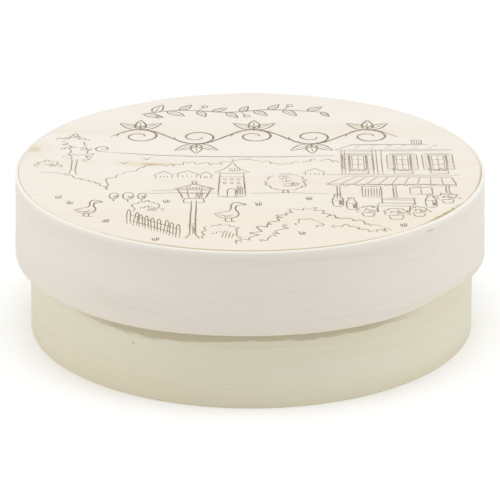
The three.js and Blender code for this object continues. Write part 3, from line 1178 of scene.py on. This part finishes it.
def fence(start, end, pales, high):
    """A fence that runs away from the viewer, with pales a little out of true."""
    start, end = Vector(start), Vector(end)
    for share in (0.32, 0.78):
        lift = Vector((0, high * share))
        stroke([start + lift, (start + end) / 2 + lift * 0.94, end + lift * 0.9], 0.32)
    for i in range(pales):
        foot = start.lerp(end, i / (pales - 1))
        lean, tall = pen.uniform(-0.35, 0.35), high * pen.uniform(0.86, 1.04)
        pale = [(-0.4, 0), (lean - 0.4, tall), (lean, tall + 1.4), (lean + 0.4, tall), (0.4, 0)]
        stroke([foot + Vector(corner) for corner in pale], 0.28)


def goose(x, y, size=1.0):
    breast = [(-3.2, 5.2), (-1.9, 2.9), (0.3, 2.1), (2.0, 3.3), (2.4, 5.6), (1.7, 8.0), (2.2, 10.4)]
    head = [(4.1, 10.6), (2.6, 11.9), (1.4, 12.0), (0.7, 10.4)]
    back = [(0.7, 8.2), (0.1, 6.6), (-1.4, 6.0), (-3.2, 5.2)]
    stroke(smooth([(x + size * a, y + size * b) for a, b in breast + head + back], 5), 0.4)
    for leg in (-0.5, 0.8):
        stroke([(x + leg * size, y + 2.2 * size), (x + leg * size, y), (x + leg * size + 1.1, y - 0.2)])
    wing = [(1.2, 4.8), (0.0, 3.6), (-1.6, 4.2), (-2.6, 5.1)]
    stroke(smooth([(x + size * a, y + size * b) for a, b in wing], 5), 0.28)
    hatch(x - 0.9 * size, y + 2.8 * size, 1.8 * size, 0.9, 4, 0.2)


def farmyard():
    dovecote(-4.4, -20, 6.6, 24)
    fruit_tree(8.6, -18.5, 8.5, 13)
    lantern_post(-13.4, -48.5, -12)
    fence((-28.5, -39), (-16.8, -48), 9, 8)
    bush(-6.9, -48.5, 7.5, 8.5, 9)
    bush(-24.5, -31, 5.5, 6.5)
    goose(-5.2, -37.5, 1.05)
    goose(-38.8, -34, 0.9)
    for x, y, size in ((-32.6, -24, 1.1), (-29.2, -24.6, 1.3), (-25.9, -23.8, 1.0)):
        ring(x, y + size * 3.4, size, size * 1.9)
        stroke([(x, y + size * 1.6), (x + 0.1, y)])
        hatch(x - size * 0.1, y + size * 2.2, size * 0.9, size * 1.6, 3)
    bench(30, -27, 8.5)
    for x, y, size in ((21, -27, 2.4), (24.2, -29, 2.3), (43.2, -27.5, 2.4)):
        churn(x, y, size)
    for x, y, size in ((47.3, -25, 1.5), (28, -34, 1.6), (34.5, -36, 1.8), (40, -34, 1.5)):
        tub(x, y, size)


def foreground():
    """Hedges in front, and grass here and there."""
    foliage([(-3, -52), (1.5, -48), (3.5, -42), (7, -37), (10, -31.5), (14, -29.5)], 12, 1.8, 0.38, 0.15)
    foliage([(14, -29.5), (17, -32), (18.5, -35), (23, -36), (27, -39.5), (31, -41)], 9, 1.8, 0.36, 0.15)
    foliage([(3, -50.5), (6, -47.5), (9, -42), (8.5, -39)], 6, 1.5, 0.32, 0.15)
    foliage([(11, -40), (13, -36), (16, -38), (15, -41)], 6, 1.3, 0.3, 0.2)
    foliage([(20, -42), (23, -40.5), (26, -43.5), (30, -44.5), (33, -43)], 7, 1.4, 0.32, 0.2)
    far_spots = ((-46, -22), (-43, -26), (-20, -25), (14, -23), (2, -27))
    near_spots = ((-34, -38), (-22, -50), (36, -41), (12, -46))
    for x, y in far_spots + near_spots:
        tuft(x, y, pen.uniform(2.2, 3.4))
    for x, y in ((-31, 2), (-25.5, 5)):
        wings = [(x - 1.6, y + 1.4), (x - 0.6, y + 1.6), (x, y), (x + 0.7, y + 1.8), (x + 1.7, y + 1.2)]
        stroke(smooth(wings, 3), 0.26)


ornament()
landscape()
farmhouse()
porch()
farmyard()
foreground()
ink_length = sum((b - a).length for line, _ in strokes for a, b in zip(line, line[1:]))
farthest = max(point.length for line, _ in strokes for point in line)
print(f"{len(strokes)} strokes, {ink_length:.0f} mm of ink, up to {farthest:.1f} mm from the middle")

# %% [markdown]
# ## Ink
#
# The pen lines become geometry, so that they stay sharp from any distance. Each stroke is
# a curve whose radius is half the nib's width. A geometry tree walks along it in short
# steps, gives the hand a slight tremble, presses harder in the middle of a stroke than at
# its ends, and sweeps a flat oval along it. What shows is the upper half of the oval,
# a film of ink a few hundredths of a millimetre thick.

# %% The inking tree
def inking_tree():
    """Walks along each stroke with a trembling hand, and lays a film of ink."""
    hand = {"Step": 0.4 * MM, "Tremble": 0.26 * MM, "Film": 0.1, "Press": 0.5, "Seed": 0.0}
    tree, given = geometry_tree("ink the strokes", {**hand, "Finish": None})
    steps = {"Curve": given["Geometry"], "Length": given["Step"]}
    line = tree.add("GeometryNodeResampleCurve", {"mode": "LENGTH"}, steps)
    place = tree.add("GeometryNodeInputPosition")
    sockets = {"Vector": place, "W": given["Seed"], "Scale": 260.0}
    wander = tree.add("ShaderNodeTexNoise", {"noise_dimensions": "4D"}, sockets, 1)
    centred = tree.vector("SUBTRACT", wander, (0.5, 0.5, 0.5))
    shift = tree.scaled(centred, given["Tremble"] * 2)
    shift = tree.vector("MULTIPLY", shift, (1, 1, 0))
    line = tree.add("GeometryNodeSetPosition", {}, {"Geometry": line, "Offset": shift})
    line = tree.add("GeometryNodeSetCurveNormal", {"mode": "Z_UP"}, {"Curve": line})
    share = tree.add("GeometryNodeSplineParameter")
    from_middle = (share * 2.0 - 1.0).maths("ABSOLUTE")
    pressure = 1.0 - given["Press"] * from_middle**3.0
    uneven = tree.noise(place, 700.0, 1.0, seed=given["Seed"]) * 0.7 + 0.65
    width = tree.add("GeometryNodeInputRadius") * pressure * uneven
    oval = tree.add("GeometryNodeCurvePrimitiveCircle", {}, {"Resolution": 6, "Radius": 1.0})
    flat = tree.join(1.0, given["Film"], 1.0)
    oval = tree.add("GeometryNodeTransform", {}, {"Geometry": oval, "Scale": flat})
    return finish_tree(tree, tree.sweep(line, oval, width), given["Finish"])


# %% Ink finish
def brown_ink():
    """Brown ink that the wood has drunk unevenly, printed fainter where the scene is distant."""
    material, tree = blank_material("brown_ink")
    place = tree.place()
    x, y, z = tree.split(place)
    drunk = tree.noise(place, 420.0, 3.0, 0.6, 5.0)
    grain = tree.noise(tree.join(x * 300.0, y * 3600.0, z), 1.0, 2.0, 0.6, 6.0)
    tone = tree.blend(tree.rise(drunk, 0.35, 0.7) * 0.6, colour("8b7b67"), colour("b09f87"))
    tone = tree.blend(tree.rise(grain, 0.5, 0.75) * 0.5, tone, colour("c9b99c"))
    distant = tree.rise(y, -16 * MM, -4 * MM) * (1.0 - tree.rise(y, 11 * MM, 17 * MM))
    tone = tree.blend(distant * 0.4, tone, colour("cbbda6"))
    bump = tree.relief(grain, 0.3, 0.01 * MM)
    finish_material(tree, {"Base Color": tone, "Roughness": 0.7 - drunk * 0.2, "Normal": bump})
    return material


def ink_lines():
    """The strokes, laid on the face of the lid's board."""
    lines = []
    for line, nib in strokes:
        places = [(lid_middle.x + spot.x * MM, lid_middle.y + spot.y * MM, lid_board_top) for spot in line]
        lines.append((places, nib * MM / 2))
    return lines


ink = {"Seed": 3.0, "Finish": brown_ink()}
drawing = run_tree(inking_tree(), "lid_drawing", ink, curve_of("strokes", ink_lines()))

# %% [markdown]
# ## Staples
#
# A stapler drives a bent flat wire through both layers of a lap, and folds its legs over
# inside. The wire's path is drawn flat, x out of the wall and y up it. A geometry tree
# rounds its bends and sweeps the wire's section along it, and then the result is stood up
# in the wall of its hoop, where it follows the wall's lean.

# %% Staples
STAPLE_LENGTH = 7 * MM
STAPLE_CLINCH = 2.4 * MM
WIRE_THICK = 0.5 * MM
WIRE_WIDE = 0.9 * MM
LIFT = 0.1 * MM


def wire_tree():
    """Rounds the bends of a path and sweeps a flat wire along it."""
    tree, given = geometry_tree("bend flat wire", {"Bend": 0.35 * MM, "Finish": None})
    rounded = {"mode": "POLY"}
    corners = {"Curve": given["Geometry"], "Count": 4, "Radius": given["Bend"]}
    bends = tree.add("GeometryNodeFilletCurve", rounded, corners)
    bends = tree.add("GeometryNodeSetCurveNormal", {"mode": "Z_UP"}, {"Curve": bends})
    sides = {"Width": WIRE_THICK, "Height": WIRE_WIDE}
    section = tree.add("GeometryNodeCurvePrimitiveQuadrilateral", {}, sides)
    corners = {"Curve": section, "Count": 3, "Radius": 0.12 * MM}
    section = tree.add("GeometryNodeFilletCurve", rounded, corners)
    return finish_tree(tree, tree.sweep(bends, section), given["Finish"])


def steel_finish():
    """Zinc-plated steel wire, drawn lengthwise and scuffed by the stapler."""
    material, tree = blank_material("staple_steel")
    place = tree.place()
    x, y, z = tree.split(place)
    drawn = tree.noise(tree.join(x * 6000.0, y * 6000.0, z * 350.0), 1.0, 2.0, 0.6, 41.0)
    dull = tree.noise(place, 1400.0, 3.0, 0.6, 42.0)
    tone = tree.blend(tree.rise(dull, 0.4, 0.75) * 0.7, colour("c9c7c2"), colour("98958c"))
    bump = tree.relief(drawn, 0.4, 0.01 * MM)
    sockets = {"Base Color": tone, "Metallic": 1.0, "Roughness": dull * 0.3 + 0.25, "Normal": bump}
    finish_material(tree, sockets)
    return material


def staple_lines(levels):
    """The paths of a hoop's staples, laid flat."""
    half = (STAPLE_LENGTH - WIRE_THICK) / 2
    outer = VENEER + LIFT + WIRE_THICK / 2
    tip = STAPLE_LENGTH / 2 - STAPLE_CLINCH
    path = ((-outer, -tip), (-outer, -half), (outer, -half), (outer, half), (-outer, half), (-outer, tip))
    return [([(x, y + level, 0) for x, y in path], 1) for level in levels]


def staples(name, hoop, nodes, finish):
    """The staples of one hoop, at the heights that CAD gives its staples."""
    levels = [(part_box(node)[0].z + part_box(node)[1].z) / 2 - hoop["axis"].z for node in nodes]
    wire = curve_of("staples", staple_lines(levels))
    piece = run_tree(wire_tree(), name, {"Finish": finish}, wire)
    out = Vector((math.cos(hoop["seam"]), math.sin(hoop["seam"]), 0))
    side = Vector((-out.y, out.x, 0))
    wall = hoop["inside"] + VENEER
    for vertex in piece.data.vertices:
        x, y, z = vertex.co
        lean = hoop["flare"] * (1 - y / hoop["height"])
        vertex.co = hoop["axis"] + out * (wall + x + lean) + side * -z + Vector((0, 0, y))
    return piece


STAPLED = {
    "lid_bent_staples": (LID, ("lid_staple_1", "lid_staple_2")),
    "base_bent_staples": (BASE, ("base_staple_1", "base_staple_2", "base_staple_3")),
}
steel = steel_finish()
staple_pieces = [(staples(name, *stapled, steel), stapled[1]) for name, stapled in STAPLED.items()]

# %% [markdown]
# ## The cheese
#
# Inside is a ripened soft cheese. Its white bloom is a mould, as thick and soft as felt:
# it dips and swells by a few tenths of a millimetre, thins to straw in patches, and keeps
# the faint bars of the rack it dried on. The wheel is turned as rings of points, and each
# is then pushed towards the wheel's middle, as deep as the rind dips there.

# %% Turning round shapes
def turned(name, centre, profile, steps, finish, shape_of):
    """A shape turned about a vertical axis, from rings of points.

    `shape_of` moves each point, and says how deep in a groove or fold it lies, from 0 to 1.
    A place on the axis is one point, so it closes the shape. A profile that doesn't start
    on the axis is closed onto its own start.
    """
    shape = bmesh.new()
    groove = shape.verts.layers.float.new("groove")
    rings = []
    for radius, height in profile:
        count = steps if radius > 0 else 1
        circle = []
        for i in range(count):
            angle = 2 * math.pi * i / steps
            spot = Vector((radius * math.cos(angle), radius * math.sin(angle), height))
            moved, deep = shape_of(spot, angle)
            vertex = shape.verts.new(centre + moved)
            vertex[groove] = deep
            circle.append(vertex)
        rings.append(circle)
    pairs = list(zip(rings, rings[1:]))
    if len(rings[0]) > 1:
        pairs.append((rings[-1], rings[0]))
    for lower, upper in pairs:
        for i in range(steps if len(lower) + len(upper) > 2 else 0):
            j = (i + 1) % steps
            corners = [lower[k % len(lower)] for k in (i, j)] + [upper[k % len(upper)] for k in (j, i)]
            shape.faces.new(dict.fromkeys(corners))
    return piece_of_shape(name, shape, finish)


def spread(start, end, count):
    """Evenly spaced numbers from `start` to `end`, without the end."""
    return [start + (end - start) * i / count for i in range(count)]


def wheel_side(radius, height, rounding, grow=0.0):
    """A rounded side, from underneath up to the top face, `grow` outside the wheel."""
    reach, middle = rounding + grow, radius - rounding
    lower = arc(middle, rounding, reach, reach, -90, 0, 8)[:-1]
    wall = [(radius + grow, z) for z in spread(rounding, height - rounding, 8)]
    return lower + wall + arc(middle, height - rounding, reach, reach, 0, 90, 8)


# %% The cheese
ROUNDING = 6 * MM
BAR_DEPTH = 0.35
cheese_low, cheese_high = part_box("cheese_wheel")
cheese_foot = (cheese_low + cheese_high) / 2
cheese_foot.z = cheese_low.z
cheese_radius = (cheese_high.x - cheese_low.x) / 2
cheese_height = cheese_high.z - cheese_low.z


def cheese_point(spot, _angle):
    """A point of the rind: the bloom swells, and the rack has pressed shallow bars."""
    swell = noise.noise(spot * 90) * 0.1 + noise.noise(spot * 330) * 0.07
    flat = abs(spot.z / cheese_height - 0.5) > 0.45
    bars = 0.5 + 0.5 * math.cos(spot.x * 2 * math.pi / (7 * MM))
    pressed = bars**8 if flat else 0.0
    middle = Vector((0, 0, cheese_height / 2))
    inwards = (middle - spot).normalized()
    return spot + inwards * (0.2 + BAR_DEPTH * pressed - swell) * MM, pressed


def rind_finish():
    """White bloom, straw where it is thin, with a bump as soft as felt."""
    material, tree = blank_material("rind")
    place = tree.place()
    patches = tree.noise(place, 55.0, 4.0, 0.6, 51.0)
    fluff = tree.noise(place, 900.0, 4.0, 0.7, 52.0)
    tone = tree.blend(tree.rise(patches, 0.52, 0.72) * 0.7, colour("efeadc"), colour("e0cfa6"))
    tone = tree.blend(tree.rise(fluff, 0.55, 0.8) * 0.35, tone, colour("d3bb8a"))
    tone = tree.blend(tree.read("groove") * tree.rise(patches, 0.35, 0.6) * 0.6, tone, colour("dcc596"))
    bump = tree.relief(fluff, 0.8, 0.2 * MM)
    sockets = {"Base Color": tone, "Roughness": 0.85 + patches * 0.1, "Normal": bump, "Sheen Weight": 0.3}
    finish_material(tree, sockets)
    return material


flat_radius = cheese_radius - ROUNDING
cheese_profile = [(radius, 0) for radius in spread(0, flat_radius, 40)]
cheese_profile += wheel_side(cheese_radius, cheese_height, ROUNDING)
cheese_profile += [(radius, cheese_height) for radius in spread(flat_radius, 0, 40)[1:] + [0]]
cheese = turned("ripened_cheese", cheese_foot, cheese_profile, 240, rind_finish(), cheese_point)

# %% [markdown]
# ## The wrapper
#
# Waxed paper covers the wheel's top and side and is folded in under it. A flat sheet
# cannot follow a round corner without pleats, so they fan out from the shoulder and stand
# out further towards the foot, where there is most paper to take in.

# %% The wrapper
PAPER = 0.3 * MM
PAPER_OPENING = 24 * MM
PLEATS = 44
PLEAT_DEPTH = 0.8 * MM


def paper_point(spot, angle):
    """A point of the paper. Pleats stand out round the wheel, more so towards its foot."""
    reach = math.hypot(spot.x, spot.y)
    shoulder = min(1.0, max(0.0, (reach - (cheese_radius - 14 * MM)) / (14 * MM)))
    gather = shoulder * (1 - 0.55 * spot.z / cheese_height)
    turn = PLEATS * (angle + 0.2 * noise.noise(Vector((math.cos(angle), math.sin(angle), 0)) * 3))
    wave = (turn / (2 * math.pi)) % 1.0
    ridge = wave / 0.8 if wave < 0.8 else (1 - wave) / 0.2
    away = Vector((spot.x, spot.y, (spot.z - cheese_height / 2) * 1.5))
    if spot.z < ROUNDING:
        away.z = 0
    crinkle = abs(noise.noise(spot * 150)) * 0.25 * MM if spot.z > cheese_height / 2 else 0.0
    if reach < flat_radius and spot.z < 1 * MM:
        gather = 0.0
    deep = gather * max(0.0, wave - 0.6) / 0.4
    return spot + away.normalized() * (PLEAT_DEPTH * gather * ridge + crinkle), deep


def paper_finish():
    """Thin waxed paper: a cool white, crumpled, glossier where the wax is thick, with painted shade in its
    creases and pleat folds.
    """
    material, tree = blank_material("waxed_paper")
    place = tree.place()
    pulp = tree.noise(place, 1500.0, 3.0, 0.6, 61.0)
    wax = tree.noise(place, 60.0, 2.0, 0.5, 63.0)
    wander = tree.add("ShaderNodeTexNoise", {}, {"Vector": place, "Scale": 120.0}, 1)
    crumpled = tree.vector("ADD", place, tree.scaled(wander, 3 * MM))
    edges = {"feature": "DISTANCE_TO_EDGE"}
    broad = tree.add("ShaderNodeTexVoronoi", edges, {"Vector": crumpled, "Scale": 75.0})
    small = tree.add("ShaderNodeTexVoronoi", edges, {"Vector": crumpled, "Scale": 210.0})
    relief = tree.rise(broad, 0.0, 0.5) + tree.rise(small, 0.0, 0.5) * 0.4
    # Painted shade along the crease lines of the crumpled paper.
    tone = tree.blend((1.0 - tree.rise(broad, 0.0, 0.03)) * 0.3, colour("f3f2ec"), colour("e6e3d9"))
    tone = tree.blend(tree.rise(pulp, 0.55, 0.75) * 0.2, tone, colour("dfdcd0"))
    # Painted shade deep in the fold of each pleat.
    tone = tree.blend(tree.read("groove") * 0.75, tone, colour("c9c4b4"))
    bump = tree.relief(relief, 0.5, 0.35 * MM)
    finish_material(tree, {"Base Color": tone, "Roughness": 0.6 - wax * 0.35, "Normal": bump})
    return material


skin_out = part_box("wrapping_paper")[1].z - cheese_high.z
skin_in = skin_out - PAPER


def paper_layer(grow):
    """One face of the paper, from the opening underneath, round the side, to the middle of the top."""
    under = [(radius, -grow) for radius in spread(PAPER_OPENING, flat_radius, 16)]
    top = [(radius, cheese_height + grow) for radius in spread(flat_radius, 0, 30)[1:] + [0]]
    return under + wheel_side(cheese_radius, cheese_height, ROUNDING, grow) + top


paper_profile = paper_layer(skin_out) + paper_layer(skin_in)[::-1]
wrapper = turned("pleated_wrapper", cheese_foot, paper_profile, 528, paper_finish(), paper_point)

# %% Floor
def floor_finish():
    """A nearly white floor that glows a little, so that it stays even."""
    material, tree = blank_material("studio_floor")
    speck = tree.noise(tree.place(), 60.0, 3.0)
    tone = tree.blend(speck * 0.3, (0.95, 0.95, 0.95, 1), (0.93, 0.93, 0.93, 1))
    sockets = {"Base Color": tone, "Roughness": 0.9, "Emission Color": tone, "Emission Strength": 0.2}
    finish_material(tree, sockets)
    return material


FLOOR_REACH = 4.0
corners = [(x * FLOOR_REACH, y * FLOOR_REACH, 0) for x, y in ((-1, -1), (1, -1), (1, 1), (-1, 1))]
floor_mesh = bpy.data.meshes.new("floor")
floor_mesh.from_pydata(corners, [], [(0, 1, 2, 3)])
floor_mesh.materials.append(floor_finish())
floor = bpy.data.objects.new("floor", floor_mesh)
scene.collection.objects.link(floor)

# %% Riding and replacing
PIECES = (
    (lid_hoop, "lid_hoop", "pale_veneer"),
    (base_hoop, "base_hoop", "cream_veneer"),
    (lid_board, "lid_disc", "lid_board"),
    (base_board, "base_disc", "base_board"),
    (cheese, "cheese_wheel", "rind"),
    (wrapper, "wrapping_paper", "waxed_paper"),
)
for piece, node, slot in PIECES:
    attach(piece, "root")
    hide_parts(node)
for piece, nodes in staple_pieces:
    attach(piece, "root")
    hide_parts(*nodes)
for piece in (drawing, lid_fibres, base_fibres):
    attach(piece, "root")
